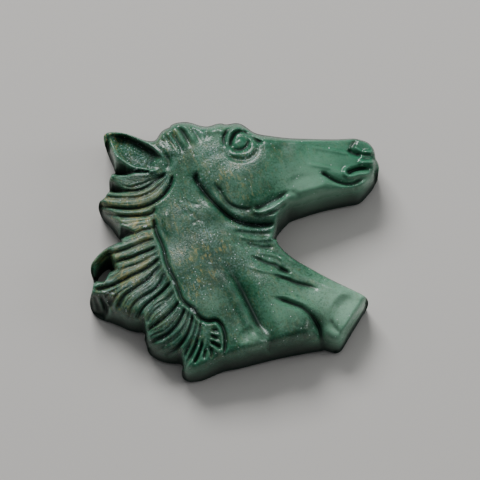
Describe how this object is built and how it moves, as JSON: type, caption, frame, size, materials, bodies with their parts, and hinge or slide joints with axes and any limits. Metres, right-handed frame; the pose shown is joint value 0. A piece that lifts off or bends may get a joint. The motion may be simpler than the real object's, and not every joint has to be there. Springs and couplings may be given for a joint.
{
  "type": "horse head relief carving",
  "caption": "Flat-backed green jade carving of a horse's head and neck facing right, with flowing mane and a cord hole in the mane; lies or hangs as an ornament.",
  "frame": {"origin": "middle of the flat back, on the surface the carving lies on", "axes": "+X from the mane to the muzzle, +Y from the chest to the ear, +Z out of the back through the carved face"},
  "size_m": [0.0564, 0.052, 0.0117],
  "materials": {
    "jade": "polished"
  },
  "bodies": {
    "root": {"horse_head_carving": "jade"}
  },
  "joints": []
}
